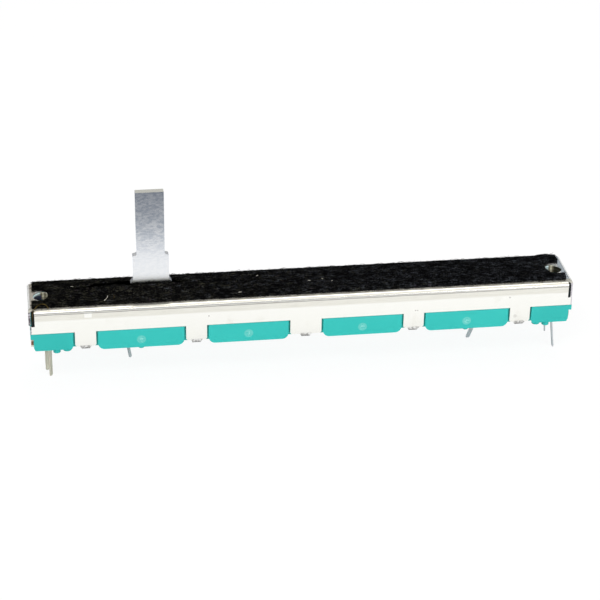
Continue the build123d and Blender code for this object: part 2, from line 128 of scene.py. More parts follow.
class Graph:
    """Adds nodes to a tree."""

    def __init__(self, tree):
        self.tree = tree

    def node(self, kind, settings=None, values=None, output=0):
        """One node with its settings, then the values or links of its sockets."""
        node = self.tree.nodes.new(kind)
        for name, setting in (settings or {}).items():
            if name == "stops":
                self.fill_ramp(node.color_ramp, setting)
            else:
                setattr(node, name, setting)
        for name, value in (values or {}).items():
            if isinstance(value, Value):
                self.tree.links.new(value.output, node.inputs[name])
            else:
                node.inputs[name].default_value = value
        if len(node.outputs):
            return Value(self, node.outputs[output])
        return node

    def fill_ramp(self, ramp, stops):
        """Gives a colour ramp its stops."""
        for _ in stops[2:]:
            ramp.elements.new(0.5)
        for element, (place, colour) in zip(ramp.elements, stops):
            element.position = place
            element.color = colour

    def maths(self, operation, *values):
        """A Math node on numbers and outputs."""
        return self.node("ShaderNodeMath", {"operation": operation}, dict(enumerate(values)))

    def step(self, value, low, high):
        """Goes smoothly from 0 at low to 1 at high."""
        ends = {"Value": value, "From Min": low, "From Max": high}
        return self.node("ShaderNodeMapRange", {"interpolation_type": "SMOOTHSTEP"}, ends)

    def fade(self, value, low, high):
        """Goes smoothly from 1 at low to 0 at high."""
        return 1 - self.step(value, low, high)

    def length(self, first, second):
        """Distance that two steps at right angles make."""
        return (first ** 2.0 + second ** 2.0) ** 0.5


class Finish(Graph):
    """A material, with its patterns laid out in millimetres on the object."""

    def __init__(self, name):
        self.material = bpy.data.materials.new(name)
        self.material.use_nodes = True
        super().__init__(self.material.node_tree)
        self.tree.nodes.clear()
        place = self.node("ShaderNodeTexCoord", output="Object")
        self.place = self.node("ShaderNodeVectorMath", {"operation": "SCALE"}, {0: place, "Scale": 1 / MM})
        split = self.node("ShaderNodeSeparateXYZ", values={0: self.place})
        self.x, self.y, self.z = (Value(self, output) for output in split.output.node.outputs)

    def grain(self, size, stretch=(1, 1, 1), detail=3.0):
        """Noise from 0 to 1, with spots of about a size in millimetres, drawn out along the axes."""
        scale = [1 / (size * length) for length in stretch]
        place = self.node("ShaderNodeMapping", values={"Vector": self.place, "Scale": scale})
        return self.node("ShaderNodeTexNoise", values={"Vector": place, "Scale": 1.0, "Detail": detail})

    def mix(self, share, first, second):
        """Colour between two colours."""
        return self.node("ShaderNodeMix", {"data_type": "RGBA"}, {0: share, 6: first, 7: second}, 2)

    def bump(self, height, depth):
        """Normal of a relief whose height of 1 stands a depth in millimetres proud."""
        return self.node("ShaderNodeBump", values={"Height": height, "Distance": depth * MM})

    def right(self):
        """Mask of the right half."""
        return self.step(self.x, -1.0, 1.0)

    def surface(self, **sockets):
        """Ends the material in one shader, and returns it."""
        values = {name.replace("_", " "): value for name, value in sockets.items()}
        shader = self.node("ShaderNodeBsdfPrincipled", values=values)
        self.node("ShaderNodeOutputMaterial", values={"Surface": shader})
        return self.material


# Finishes

CREASE_DROP = 0.53          # from the cover's top down to the crease under its long bends
SPECKS = (                  # place on the front skirt, and radius
    (-13.31, -1.97, 0.14),
    (15.2, -2.9, 0.12),
    (15.5, -2.93, 0.1),
    (28.42, -1.69, 0.14),
    (29.34, -4.67, 0.36),
)
SPECK_DEPTH = 0.09          # a wider speck is paler
PRESSED_SQUARE = (-29.57, -0.86, 0.5, 0.36)         # place on the front skirt, half its length and height
SQUARE_BLUR = 0.06
TAB_FOOT = -5.5             # lower edge of the cover's tabs
TAB_PITCH = 15.0
BORE_RADIUS = 1.3
BORE_STRIPES = 11.0         # how close the thread's stripes of shine lie, in radians a millimetre
MARKS = (-22.5, -7.87, 7.87, 22.5)
MARK_Z = -5.0
SLOT_X = 36.3               # where the corner slots start


def make_tinplate():
    """Bright rolled tinplate, with painted shade in the crease and on the greyer band of its long bends.
    """
    f = Finish("tinplate")
    streaks = f.grain(0.25, (14, 1, 1))
    stains = f.grain(1.6, (1, 1, 2), 4.0)
    pits = f.step(f.grain(0.35, detail=4.0), 0.42, 0.6)
    front = f.step(0.0 - f.y, 0.0, 1.0)
    tin = f.mix(stains, paint(246, 246, 241), paint(255, 254, 250))

    # Long sides
    skirt = f.step(abs(f.y), 4.3, 4.42)
    below = f.grain(5.0, detail=4.0) * 0.16 - CREASE_DROP - f.z
    # Painted shade: a dark line in the crease under each long bend, and a greyer band below it
    crease = skirt * f.fade(abs(below), 0.02, 0.13)
    band = skirt * f.step(below, 0.0, 0.08) * f.fade(below, 0.8, 1.1)
    tin = f.mix(band * (0.45 + 0.9 * streaks), tin, paint(231, 229, 220))
    tin = f.mix(crease * (0.5 + 0.8 * stains), tin, paint(202, 199, 190))
    # Painted highlight: the small pressed square on the front skirt is painted paler
    pressed = square_mark(f, *PRESSED_SQUARE) * front
    tin = f.mix(pressed * skirt * 0.7, tin, paint(255, 255, 252))
    smear = f.step(f.grain(2.4, (1, 1, 1.5), 5.0), 0.55, 0.75)
    tin = f.mix(smear * skirt * (1 - band) * 0.5, tin, paint(238, 236, 228))

    # Margins of the top, which the felt leaves bare
    # Painted reflection: the bare ends of the top are painted grey, warm at the left end and bluish at the
    # right
    end_strip = f.step(abs(f.x), SLOT_X, 36.5) * f.fade(abs(f.x), 37.1, 37.25) * f.step(f.z, -0.3, -0.1)
    tin = f.mix(end_strip, tin, f.mix(f.right(), paint(190, 184, 172), paint(178, 186, 192)))
    front_margin = f.fade(f.y, -4.0, -3.9) * f.step(f.z, -0.25, -0.1)
    tin = f.mix(front_margin * (0.6 + 0.8 * stains), tin, paint(232, 228, 216))
    beside_felt = f.step(f.y, -4.6, -3.75) * f.fade(f.y, -3.2, -3.0)
    tin = f.mix(beside_felt * (0.5 + 0.6 * streaks), tin, paint(188, 184, 170))

    # Cut edges at the corner slots, painted shade on the crimp tongues, specks, and painted light and
    # shade in the bores
    cut = f.step(abs(f.x), 37.1, 37.2) * f.step(abs(f.y), 3.6, 3.68) * f.fade(f.z, -0.5, -0.3)
    clean = f.maths("MAXIMUM", pits, f.right() * 0.85)
    tin = f.mix(cut, tin, f.mix(clean, paint(122, 114, 120), paint(226, 222, 228)))
    # Painted shade: the crimp tongues under the tabs are painted grey
    from_tab = f.maths("PINGPONG", f.x, TAB_PITCH / 2)
    crimp = f.fade(f.z, TAB_FOOT - 0.05, TAB_FOOT + 0.15) * f.fade(from_tab, 0.7, 0.9)
    tin = f.mix(crimp, tin, f.mix(pits, paint(190, 189, 186), paint(252, 252, 250)))
    for x, z, radius in SPECKS:
        speck = f.fade(f.length(f.x - x, f.z - z), radius * 0.4, radius) * front
        tin = f.mix(speck * (SPECK_DEPTH / radius), tin, paint(158, 152, 148))
    tin, bore = paint_bore_light_and_shade(f, tin)
    relief = streaks * 0.35 + stains * 0.3 + f.grain(0.5) * 0.35 - crease * 1.2
    return f.surface(
        Base_Color=tin,
        Metallic=1 - 0.75 * bore,
        Roughness=0.16 + 0.14 * stains + 0.3 * bore + 0.25 * cut + 0.15 * crimp,
        Normal=f.bump(relief, 0.012),
    )


def paint_bore_light_and_shade(f, tin):
    """Tinplate with painted light and shade on the insides of both tapped collars, and the mask of those.
    """
    from_axis = f.length(abs(f.x) - screw_x, f.y)
    bore = f.fade(from_axis, BORE_RADIUS, BORE_RADIUS + 0.06) * f.fade(f.z, -0.16, -0.06)
    across = f.x + screw_x * (1 - 2 * f.right())
    # Painted light and shade: stripes of shine along the thread, a highlight at the left of each bore,
    # shade deep down at the left of the left bore and at the right of the right bore
    stripes = f.step(f.maths("SINE", across * BORE_STRIPES), -0.4, 0.8)
    beige = f.mix(stripes, paint(140, 134, 112), paint(224, 220, 196))
    lit = f.mix(f.step(across, -0.4, -0.1), paint(226, 244, 246), beige)
    deep_left_shade = (1 - f.right()) * f.fade(f.z, -0.6, -0.4) * f.fade(across, -0.2, 0.1)
    lit = f.mix(deep_left_shade, lit, paint(62, 68, 92))
    far = f.step(across, 0.3, 0.6) * f.right()
    return f.mix(bore, tin, f.mix(far, lit, paint(44, 42, 28))), bore


def square_mark(f, x, z, half_length, half_height):
    """Mask of a small square on a long side."""
    across = f.fade(abs(f.x - x), half_length - SQUARE_BLUR, half_length + SQUARE_BLUR)
    return across * f.fade(abs(f.z - z), half_height - SQUARE_BLUR, half_height + SQUARE_BLUR)


def make_teal_plastic():
    """Satin moulded plastic, with pale rings where the mould's pins marked it."""
    f = Finish("teal_plastic")
    flow = f.grain(2.5, (3, 1, 1), 4.0)
    speckle = f.grain(0.12)
    teal = f.mix(flow, paint(30, 189, 181), paint(44, 197, 189))
    teal = f.mix(f.step(speckle, 0.62, 0.8) * 0.2, teal, paint(90, 208, 200))

    # Marks on both long sides
    blotches = f.step(f.grain(0.18), 0.4, 0.62)
    outside = f.step(abs(f.y), 4.4, 4.45)
    for x in MARKS:
        squared = (f.x - x) ** 2.0 + (f.z - MARK_Z) ** 2.0
        ring = f.step(squared, 0.1, 0.24) * f.fade(squared, 0.26, 0.46)
        inside = f.fade(squared, 0.02, 0.24)
        mark = outside * (ring * 0.3 + inside * (0.15 + 0.6 * blotches))
        teal = f.mix(mark, teal, paint(168, 232, 222))

    # Ends painted darker as shade, and painted shade behind the corner slots and end flanges and under the
    # screw holes
    teal = f.mix(f.step(abs(f.x), 31.0, 33.0) * 0.4, teal, paint(24, 174, 168))
    slot = f.step(abs(f.x), SLOT_X, 36.5) * f.step(abs(f.y), 3.5, 3.6) * f.step(f.z, -3.3, -3.1)
    behind_flange = f.step(abs(f.x), 36.8, 36.9) * f.step(f.z, -2.7, -2.5)
    well = f.fade(f.length(abs(f.x) - screw_x, f.y), 1.5, 1.6) * f.step(f.z, -5.6, -5.5)
    shade = f.maths("MAXIMUM", f.maths("MAXIMUM", slot, well), behind_flange)
    teal = f.mix(shade, teal, paint(0, 14, 16))
    return f.surface(
        Base_Color=teal,
        Roughness=0.42 + 0.12 * speckle + 0.4 * shade,
        Normal=f.bump(flow * 0.6 + speckle * 0.4, 0.006),
    )


RAMP_HALF = 37.0            # a ramp of sizes runs this far to both sides of the middle
RAMP_WHITE = 4.0            # and its white stands for this many millimetres
RUT_REACH = (               # how far the rear lip stays pressed down behind the lever's way
    (-32.4, 0.0),
    (-31.3, 1.15),
    (-28.9, 1.8),
    (-25.3, 2.5),
    (-18.2, 2.65),
    (-17.2, 2.0),
    (-15.9, 1.5),
    (-14.5, 1.24),
    (-12.8, 0.8),
    (-10.5, 0.0),
)


def rut_shade(f):
    """Mask of the painted shadow on the part of the rear lip that lies pressed down behind the raised
    front lip.
    """
    stops = []
    for x, reach in RUT_REACH:
        grey = reach / RAMP_WHITE
        stops.append(((x + RAMP_HALF) / (2 * RAMP_HALF), (grey, grey, grey, 1)))
    along = (f.x + RAMP_HALF) * (0.5 / RAMP_HALF)
    edge = f.node("ShaderNodeValToRGB", {"stops": stops}, {"Fac": along}) * RAMP_WHITE
    return f.step(f.y, -0.02, 0.02) * f.step(edge - f.y, 0.0, 0.12) * f.step(edge, 0.0, 0.3)


def make_felt():
    """Matt black pressed felt, streaked along its length and brownish where it is worn."""
    f = Finish("felt")
    streaks = f.grain(0.2, (4, 1, 1), 4.0)
    grit = f.grain(0.16, (1.4, 1, 1), 2.0)
    clumps = f.grain(0.8, (1.5, 1, 1), 4.0)
    hue = f.step(f.grain(0.6, detail=2.0) + 0.006 * f.x, 0.3, 0.62)
    fibre = f.mix(hue, paint(56, 55, 46), paint(62, 65, 70))
    fibre = f.mix(f.step(f.grain(0.5), 0.58, 0.7) * 0.7, fibre, paint(60, 49, 60))
    raised = f.step(streaks * 0.5 + grit * 0.5, 0.46, 0.6) * f.step(clumps, 0.3, 0.7)
    felt_colour = f.mix(raised, paint(6, 6, 7), fibre)
    worn = f.fade(f.x, -19.0, -12.0) * f.step(f.x, -29.0, -24.0) * f.step(grit, 0.4, 0.7)
    felt_colour = f.mix(worn * 0.1, felt_colour, paint(72, 70, 64))
    # Painted shadow: the pressed-down rear lip behind the raised front lip is painted black
    felt_colour = f.mix(rut_shade(f), felt_colour, paint(0, 0, 0))
    return f.surface(
        Base_Color=felt_colour,
        Roughness=1.0,
        Specular_IOR_Level=0.0,
        Normal=f.bump(streaks * 0.6 + clumps * 0.4, 0.08),
    )


def make_fibre(name, dark, light):
    """Loose fibre, lighter and darker by turns."""
    f = Finish(name)
    shade = f.grain(0.7, detail=4.0)
    fibre = f.mix(f.step(shade, 0.35, 0.7) * (0.85 + 0.15 * f.step(f.x, -12.0, 0.0)), dark, light)
    return f.surface(
        # Painted shadow: fibres on the pressed-down rear lip are painted black too
        Base_Color=f.mix(rut_shade(f), fibre, paint(0, 0, 0)),
        Roughness=0.9,
        Specular_IOR_Level=0.0,
    )


def make_lever_steel():
    """Satin plated steel, mottled and finely scratched, painted darker and bluer towards the top as
    reflection, with a sheared top and painted shade at its foot.
    """
    f = Finish("lever_steel")
    mottle = f.grain(0.32, (1.5, 1, 0.8), 4.0)
    scratches = f.grain(0.05, (1.0, 1.0, 22))
    cross = f.grain(0.06, (18, 1, 1))
    # Painted reflection: the mottle spreads wider towards the top, so the steel is painted darker and
    # bluer up the lever
    spread = 0.25 + 0.75 * f.step(f.z, 4.0, 9.0)
    light = (f.step(mottle, 0.3, 0.7) - 1.0) * spread + 1.0
    steel = f.mix(light, paint(192, 197, 204), paint(228, 229, 230))
    steel = f.mix(f.step(cross, 0.6, 0.75) * 0.25, steel, paint(174, 178, 185))
    sheared = f.step(f.z, lever_high[2] - 0.03, lever_high[2] - 0.01)
    steel = f.mix(sheared, steel, paint(233, 232, 222))
    # Painted shade: the foot, where the lever meets the felt, is painted darker
    painted_foot_shade = f.fade(f.z, 0.6, 3.0)
    steel = f.mix(painted_foot_shade * (0.7 + 0.6 * mottle), steel, paint(144, 146, 142))
    return f.surface(
        Base_Color=steel,
        Metallic=1.0,
        Roughness=0.1 + 0.12 * mottle,
        Normal=f.bump(mottle * 0.5 + scratches * 0.3 + cross * 0.2, 0.004),
    )


def make_tinned_pin():
    """Tinned pin, dull and a little uneven, and warmer in colour at the left end."""
    f = Finish("tinned_pin")
    coat = f.grain(0.5, (1, 1, 2.5), 4.0)
    warm = f.fade(f.x, -34.0, -31.0)
    tin = f.mix(coat, paint(208, 212, 216), paint(240, 243, 246))
    tin = f.mix(warm, tin, f.mix(coat, paint(214, 208, 190), paint(250, 245, 226)))
    return f.surface(
        Base_Color=tin,
        Metallic=0.45,
        Roughness=0.4 + 0.2 * coat,
        Normal=f.bump(coat, 0.02),
    )


def make_phenolic():
    """Laminated board: brown paper layers between a pink and a cream face."""
    f = Finish("phenolic")
    layers = f.grain(0.08, (30, 30, 1))
    fibres = f.grain(0.3, (6, 1, 1), 4.0)
    core = f.mix(layers, paint(104, 62, 38), paint(158, 104, 70))
    core = f.mix(fibres * 0.4, core, paint(120, 76, 50))
    board = f.mix(f.step(f.z, -4.62, -4.52), core, paint(226, 196, 186))
    board = f.mix(f.fade(f.z, -5.2, -5.1), board, paint(232, 226, 210))
    return f.surface(Base_Color=board, Roughness=0.5 + 0.2 * layers, Normal=f.bump(fibres, 0.01))


def make_print(name, dark, light, roughness, metallic=0.0):
    """Screen-printed ink, fine-grained, with faint lines along the wiping direction."""
    f = Finish(name)
    dots = f.grain(0.06)
    wiped = f.grain(0.05, (60, 1, 1))
    return f.surface(
        Base_Color=f.mix(dots * 0.5 + wiped * 0.5, dark, light),
        Metallic=metallic,
        Roughness=roughness + 0.15 * dots,
        Normal=f.bump(dots * 0.4 + wiped * 0.6, 0.004),
    )


def make_spring(name, dark, light):
    """Bright rolled spring strip."""
    f = Finish(name)
    rolled = f.grain(0.05, (30, 1, 1))
    tarnish = f.grain(1.2, detail=4.0)
    return f.surface(
        Base_Color=f.mix(tarnish, dark, light),
        Metallic=1.0,
        Roughness=0.2 + 0.15 * rolled,
        Normal=f.bump(rolled, 0.003),
    )


def make_carriage_plastic():
    """Natural acetal, waxy and a little cloudy."""
    f = Finish("carriage_plastic")
    cloud = f.grain(1.5, detail=4.0)
    fine = f.grain(0.1)
    return f.surface(
        Base_Color=f.mix(cloud, paint(226, 224, 214), paint(240, 239, 232)),
        Roughness=0.38 + 0.1 * fine,
        Normal=f.bump(cloud * 0.7 + fine * 0.3, 0.008),
    )


tinplate = make_tinplate()
felt_finish = make_felt()
nap_finish = make_fibre("felt_nap", paint(12, 12, 12), paint(46, 46, 45))
pale_lint = make_fibre("pale_lint", paint(170, 165, 150), paint(235, 232, 222))
tan_lint = make_fibre("tan_lint", paint(48, 40, 20), paint(88, 76, 44))
tinned_pin = make_tinned_pin()
carbon = make_print("carbon", paint(18, 18, 20), paint(34, 34, 36), 0.55)
silver_carbon = make_print("silver_carbon", paint(64, 64, 66), paint(92, 92, 94), 0.45)
spring_bronze = make_spring("spring_bronze", paint(176, 138, 92), paint(214, 178, 126))

node_finishes = {
    "cover_frame": tinplate,
    "dust_felt": felt_finish,
    "base_moulding": make_teal_plastic(),
    "element_board": make_phenolic(),
    "resistive_track_rear": carbon,
    "resistive_track_front": carbon,
    "collector_track_rear": silver_carbon,
    "collector_track_front": silver_carbon,
    "silver_pads": make_print("silver_print", paint(176, 175, 170), paint(214, 213, 208), 0.35, 0.9),
    "lever": make_lever_steel(),
    "slider_carriage": make_carriage_plastic(),
    "wiper_rear": spring_bronze,
    "wiper_front": spring_bronze,
    "drag_spring": make_spring("spring_steel", paint(168, 170, 172), paint(206, 208, 210)),
}
for name, node in frame["nodes"].items():
    node.data.materials.clear()
    node.data.materials.append(node_finishes.get(name, tinned_pin))


# Meshes


def add_object(name, mesh, body):
    """An object for a mesh, riding on a body."""
    piece = bpy.data.objects.new(name, mesh)
    bpy.context.collection.objects.link(piece)
    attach(piece, body)
    return piece


def add_piece(name, points, faces, finish, body, slot):
    """A mesh from points in millimetres, riding on a body."""
    mesh = bpy.data.meshes.new(name)
    mesh.from_pydata([[value * MM for value in point] for point in points], [], faces)
    mesh.materials.append(finish)
    mesh.shade_smooth()
    return add_object(name, mesh, body)


def finished_mesh(carrier):
    """The mesh that an object's curve or modifiers make, as a plain one."""
    return bpy.data.meshes.new_from_object(carrier.evaluated_get(bpy.context.evaluated_depsgraph_get()))


def close_sheet(top, under, faces):
    """Points and faces of a closed sheet, from its top's faces and both sides' points."""
    count = len(top)
    edges = {(a, b) for face in faces for a, b in zip(face, face[1:] + face[:1])}
    walls = [(b, a, a + count, b + count) for a, b in sorted(edges) if (b, a) not in edges]
    lower = [tuple(index + count for index in reversed(face)) for face in faces]
    return top + under, faces + lower + walls


# Felt strip. The slit gapes where the lever stands, and the front lip has curled up there in use.

FELT_ROWS = 20
FELT_STEP = 0.2
FELT_FINE_STEP = 0.06
FELT_FINE_ENDS = 3.4        # length at each end with the fine step
FELT_CORNER = 0.25
FRONT_SETBACK = 0.3         # of the felt's front edge from the solid strip's
REAR_BULGE = 0.28           # of the rear edge beside the right screw hole
REAR_BULGE_X = 35.0
ROUND_FRONT = 0.32          # how far the long edges are rounded down
ROUND_REAR = 0.08
SLIT_END = 33.2
SLIT_GAP = 0.07             # half the closed slit
LEVER_HALF = 3.0
GAPE_HALF = LEVER_HALF + 1.8        # from the lever's middle to where the slit is closed again
LEVER_GAP = 0.03            # between the lever's faces and the slit
LIP_HINGE = 2.5             # from the slit to the line where the front lip starts to rise
LIP_CURL = 1.4              # how sharply the lip's edge curls
RUT_DEPTH = 0.25
CUT_LEFT = (-34.7, 1.9)     # where a cut-out's round end starts, and half its width
CUT_RIGHT = (34.3, 1.95)
CUT_ROUND_FRONT = 1.0
CUT_ROUND_REAR = 1.4
CUT_LEAST = 0.3             # a wider gap than this is a cut-out
LIP_HEIGHTS = (
    (-34.6, 0.0),
    (-31.3, 0.38),
    (-28.9, 0.56),
    (-25.3, 0.76),
    (lever_x - LEVER_HALF, 0.9),
    (lever_x, 1.0),
    (lever_x + LEVER_HALF, 0.95),
    (-17.2, 0.78),
    (-15.9, 0.62),
    (-14.5, 0.5),
    (-12.8, 0.32),
    (-6.0, 0.0),
)
SLANT_FROM = 34.0           # the ends are set askew from here on
END_LEFT = (-36.92, 0.03)   # felt's left end on the middle line, and its slant
END_RIGHT = (36.7, 0.01)


def wave(x, y, size, seed):
    """Smooth noise from -1 to 1."""
    return noise.noise(Vector((x / size, y / size, seed)))


def felt_columns():
    """Places along the felt, closer together near its ends."""
    x = felt_low[0]
    columns = []
    while x < felt_high[0]:
        columns.append(x)
        near_end = min(x - felt_low[0], felt_high[0] - x) < FELT_FINE_ENDS
        x += FELT_FINE_STEP if near_end else FELT_STEP
    return columns + [felt_high[0]]


def felt_reach(x, side):
    """Felt's outer edge from the middle line, rounded at the corners and a little ragged."""
    edge = felt_high[1] if side > 0 else -felt_low[1]
    from_end = min(x - felt_low[0], felt_high[0] - x)
    inside = max(0.0, FELT_CORNER - from_end)
    rounded = FELT_CORNER - math.sqrt(FELT_CORNER ** 2 - inside ** 2)
    shifted = REAR_BULGE * smooth(abs(x - REAR_BULGE_X), 1.3, 0.2) if side > 0 else -FRONT_SETBACK
    return edge - rounded + shifted + 0.05 * wave(x, side, 0.5, 3.0) + 0.04 * wave(x, side, 0.16, 5.0)


def cut_gap(x, side, end, width):
    """Half the width of an end's cut-out at a place along the felt."""
    depth = abs(x) - abs(end)
    if depth <= 0 or x * end < 0:
        return 0.0
    share = min(1.0, depth / (CUT_ROUND_REAR if side > 0 else CUT_ROUND_FRONT))
    return width * math.sqrt(1 - (1 - share) ** 2)


def felt_gap(x, side):
    """Felt's inner edge from the middle line: the slit, then a bridge, then the cut-out."""
    cut = max(cut_gap(x, side, *CUT_LEFT), cut_gap(x, side, *CUT_RIGHT))
    if abs(x) > SLIT_END:
        return cut
    beside = smooth(abs(x - lever_x), GAPE_HALF, LEVER_HALF)
    ragged = 0.03 * wave(x, side, 0.3, 9.0)
    end = smooth(SLIT_END - abs(x), 0.0, 0.3)
    return end * (SLIT_GAP + ragged + (lever_y + LEVER_GAP - SLIT_GAP) * beside)


def felt_height(x, y, side, gap, reach):
    """Felt's top: its thickness, its nap, its soft edges and the curled front lip."""
    lip = 0.0
    if side < 0:
        lip = follow(x, LIP_HEIGHTS) * (1 - smooth(-y, gap, LIP_HINGE)) ** LIP_CURL
    elif follow(x, RUT_REACH) > 0:
        lip = -RUT_DEPTH * smooth(follow(x, RUT_REACH) - y, -0.1, 0.15)
    from_cut = abs(y) - gap if gap > CUT_LEAST else 1.0
    soft_end = 0.1 * (1 - smooth(min(from_cut, x - felt_low[0], felt_high[0] - x), 0.0, 0.2))
    soft_side = (ROUND_FRONT if side < 0 else ROUND_REAR) * (1 - smooth(reach - abs(y), 0.0, 0.45))
    nap = 0.04 * wave(x * 0.35, y, 0.18, 1.0) + 0.03 * wave(x, y, 0.12, 2.0)
    return felt_high[2] + lip - max(soft_end, soft_side) + nap


def slant(x, y):
    """Place along the felt after both ends are set at their slant."""
    left = END_LEFT[0] + END_LEFT[1] * y - felt_low[0]
    right = END_RIGHT[0] + END_RIGHT[1] * y - felt_high[0]
    return x + left * smooth(x, -SLANT_FROM, felt_low[0]) + right * smooth(x, SLANT_FROM, felt_high[0])


def felt_sheet():
    """Points and faces of the felt: a front and a rear strip that join where there is no gap."""
    top = []
    faces = []
    joined = {}
    rows = {}
    columns = felt_columns()
    for side in (-1, 1):
        for i, x in enumerate(columns):
            gap = felt_gap(x, side)
            reach = felt_reach(x, side)
            for j in range(FELT_ROWS + 1):
                y = side * (gap + (reach - gap) * j / FELT_ROWS)
                on_joint = j == 0 and gap == 0
                if on_joint and i in joined:
                    rows[side, i, j] = joined[i]
                    continue
                if on_joint:
                    joined[i] = len(top)
                rows[side, i, j] = len(top)
                top.append((slant(x, y), y, felt_height(x, y, side, gap, reach)))
    ring = ((0, 0), (1, 0), (1, 1), (0, 1))
    for side in (-1, 1):
        for i in range(len(columns) - 1):
            for j in range(FELT_ROWS):
                face = [rows[side, i + along, j + across] for along, across in ring]
                faces.append(tuple(face if side > 0 else reversed(face)))
    # The underside stays flat on the cover, so the curled-up front lip is a solid black wedge that stands
    # in for the shade under the lip
    under = [(x, y, felt_low[2]) for x, y, z in top]
    return close_sheet(top, under, faces)


felt = add_piece("felt_strip", *felt_sheet(), felt_finish, HOUSING, "felt")
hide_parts("dust_felt")


# Felt lips that the lever parts as it goes

PARTED_HALF = 4.0
PARTED_WIDTH = 1.1
PARTED_RISE = 0.34
PARTED_STEPS = 44
PARTED_ROWS = 8
PARTED_GAP = 0.02           # from the lever's faces, and how far the lips stand above the felt
PARTED_SINK = 0.12          # how far a lip's underside lies in the felt


def parted_lip(side):
    """Points and faces of one lip beside the lever, a crescent that runs out at both ends."""
    top = []
    for i in range(PARTED_STEPS + 1):
        x = PARTED_HALF * (2 * i / PARTED_STEPS - 1)
        run_out = 1 - smooth(abs(x), LEVER_HALF - 0.4, PARTED_HALF)
        inner = 0.03 + (lever_y + PARTED_GAP) * run_out
        width = 0.12 + PARTED_WIDTH * run_out
        for j in range(PARTED_ROWS + 1):
            share = j / PARTED_ROWS
            y = inner + width * share
            rise = PARTED_RISE * run_out * (1 - smooth(share, 0.05, 1.0))
            nap = 0.03 * wave(x, y * side, 0.2, 4.0)
            top.append((lever_x + x, side * y, felt_high[2] + PARTED_GAP + rise + nap))
    row = PARTED_ROWS + 1
    faces = []
    for i in range(PARTED_STEPS):
        for j in range(PARTED_ROWS):
            a = i * row + j
            face = [a, a + row, a + row + 1, a + 1]
            faces.append(tuple(face if side > 0 else reversed(face)))
    under = [(x, y, felt_high[2] - PARTED_SINK) for x, y, z in top]
    return close_sheet(top, under, faces)


for name, side in (("parted_lip_front", -1), ("parted_lip_rear", 1)):
    add_piece(name, *parted_lip(side), felt_finish, SLIDER, "felt")


# Pieces made by geometry nodes


def grow(name, tree, base, values, body):
    """Runs a tree on a base mesh and keeps its result as a plain mesh."""
    carrier = bpy.data.objects.new(name + "_carrier", base)
    bpy.context.collection.objects.link(carrier)
    modifier = carrier.modifiers.new("grow", "NODES")
    modifier.node_group = tree
    for item in tree.interface.items_tree:
        if item.name in values:
            modifier[item.identifier] = values[item.name]
    mesh = finished_mesh(carrier)
    carrier.modifiers.clear()
    bpy.data.objects.remove(carrier)
    mesh.name = name
    return add_object(name, mesh, body)


def new_tree(name, inputs):
    """An empty geometry tree with named inputs, and its graph and group input."""
    tree = bpy.data.node_groups.new(name, "GeometryNodeTree")
    tree.interface.new_socket("Geometry", in_out="INPUT", socket_type="NodeSocketGeometry")
    for label, kind in inputs:
        tree.interface.new_socket(label, in_out="INPUT", socket_type=kind)
    tree.interface.new_socket("Geometry", in_out="OUTPUT", socket_type="NodeSocketGeometry")
    graph = Graph(tree)
    start = graph.node("NodeGroupInput")
    given = {output.name: Value(graph, output) for output in start.output.node.outputs}
    return tree, graph, given


def end_tree(graph, geometry, finish):
    """Ends a tree in realized instances with a finish."""
    plain = graph.node("GeometryNodeRealizeInstances", values={0: geometry})
    dressed = graph.node("GeometryNodeSetMaterial", values={"Geometry": plain, "Material": finish})
    graph.node("NodeGroupOutput", values={0: dressed})


def sweep(graph, path, corners, thickness):
    """A closed round thread along a path."""
    section = graph.node(
        "GeometryNodeCurvePrimitiveCircle",
        values={"Resolution": corners, "Radius": thickness * 0.5},
    )
    return graph.node("GeometryNodeCurveToMesh", values={0: path, 1: section, "Fill Caps": True})


def nap_tree(finish):
    """Short bowed fibres scattered over a surface and its walls."""
    inputs = (
        ("Top density", "NodeSocketFloat"),
        ("Edge density", "NodeSocketFloat"),
        ("Length", "NodeSocketFloat"),
        ("Thickness", "NodeSocketFloat"),
        ("Seed", "NodeSocketInt"),
    )
    tree, g, given = new_tree("felt_fibres", inputs)
    normal = g.node("GeometryNodeInputNormal")
    up = g.node("ShaderNodeSeparateXYZ", values={0: normal}, output="Z")
    is_top = g.node("FunctionNodeCompare", {"operation": "GREATER_THAN"}, {0: up, 1: 0.45})
    is_side = g.node("FunctionNodeCompare", {"operation": "GREATER_THAN"}, {0: up, 1: -0.5})
    density = is_top * given["Top density"] + is_side * (1 - is_top) * given["Edge density"]
    scattered = g.node(
        "GeometryNodeDistributePointsOnFaces",
        values={"Mesh": given["Geometry"], "Density": density, "Seed": given["Seed"]},
    )
    half = given["Length"] * 0.5
    start = g.node("ShaderNodeCombineXYZ", values={"X": half * -1.0, "Z": given["Thickness"] * -1.0})
    middle = g.node("ShaderNodeCombineXYZ", values={"Z": given["Length"] * 0.3})
    end = g.node("ShaderNodeCombineXYZ", values={"X": half, "Z": given["Length"] * 0.12})
    bow = g.node(
        "GeometryNodeCurveQuadraticBezier",
        values={"Resolution": 4, "Start": start, "Middle": middle, "End": end},
    )
    turn = g.node(
        "FunctionNodeRandomValue",
        {"data_type": "FLOAT_VECTOR"},
        {"Min": (-1.2, -0.35, -1.0), "Max": (1.2, 0.35, 1.0), "Seed": given["Seed"]},
    )
    scale = g.node(
        "FunctionNodeRandomValue",
        {"data_type": "FLOAT"},
        {2: 0.45, 3: 1.4, "Seed": given["Seed"] + 1},
        output=1,
    )
    placed = g.node(
        "GeometryNodeInstanceOnPoints",
        values={
            "Points": scattered,
            "Instance": sweep(g, bow, 3, given["Thickness"]),
            "Rotation": turn,
            "Scale": scale,
        },
    )
    end_tree(g, placed, finish)
    return tree


